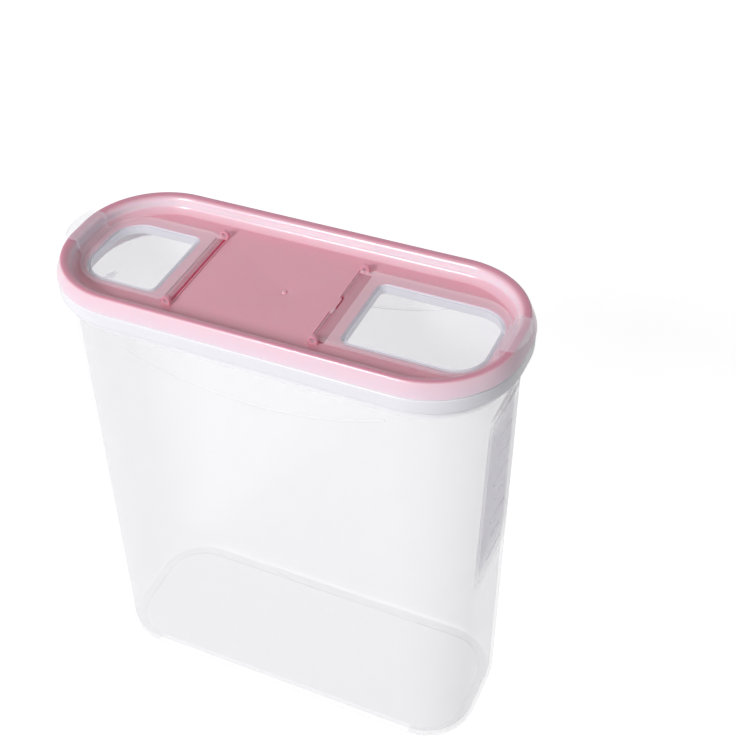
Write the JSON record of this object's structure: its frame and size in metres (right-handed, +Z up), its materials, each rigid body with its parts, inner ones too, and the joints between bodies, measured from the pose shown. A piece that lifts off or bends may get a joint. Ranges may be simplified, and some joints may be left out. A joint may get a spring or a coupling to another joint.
{
  "type": "cereal container with flip spout",
  "caption": "Tall narrow food container with rounded ends, a push-fit rimmed lid and a large and a small flip cap over pouring openings.",
  "frame": {"origin": "centre of the base, on the table", "axes": "+Z up, X along the lid with the large cap at +X, Y across it"},
  "size_m": [0.2414, 0.1018, 0.2734],
  "materials": {
    "container_plastic": "translucent frosted clear moulding",
    "lid_plastic": "glossy pink moulding",
    "cap_plastic": "translucent clear moulding",
    "gasket_silicone": "soft white silicone"
  },
  "bodies": {
    "container": {"container": "container_plastic"},
    "lid": {"lid": "lid_plastic", "lid_gasket": "gasket_silicone"},
    "large_cap": {"large_cap": "cap_plastic"},
    "small_cap": {"small_cap": "cap_plastic"}
  },
  "joints": [
    {"name": "lid_lift", "type": "slide", "parent": "container", "child": "lid", "axis": [0, 0, 1], "range_m": [0, 0.06]},
    {"name": "large_cap_hinge", "type": "hinge", "parent": "lid", "child": "large_cap", "pos_m": [0.0276, 0, 0.2646], "axis": [0, -1, 0], "range_deg": [0, 110]},
    {"name": "small_cap_hinge", "type": "hinge", "parent": "lid", "child": "small_cap", "pos_m": [-0.0503, 0, 0.2646], "axis": [0, 1, 0], "range_deg": [0, 110]}
  ]
}
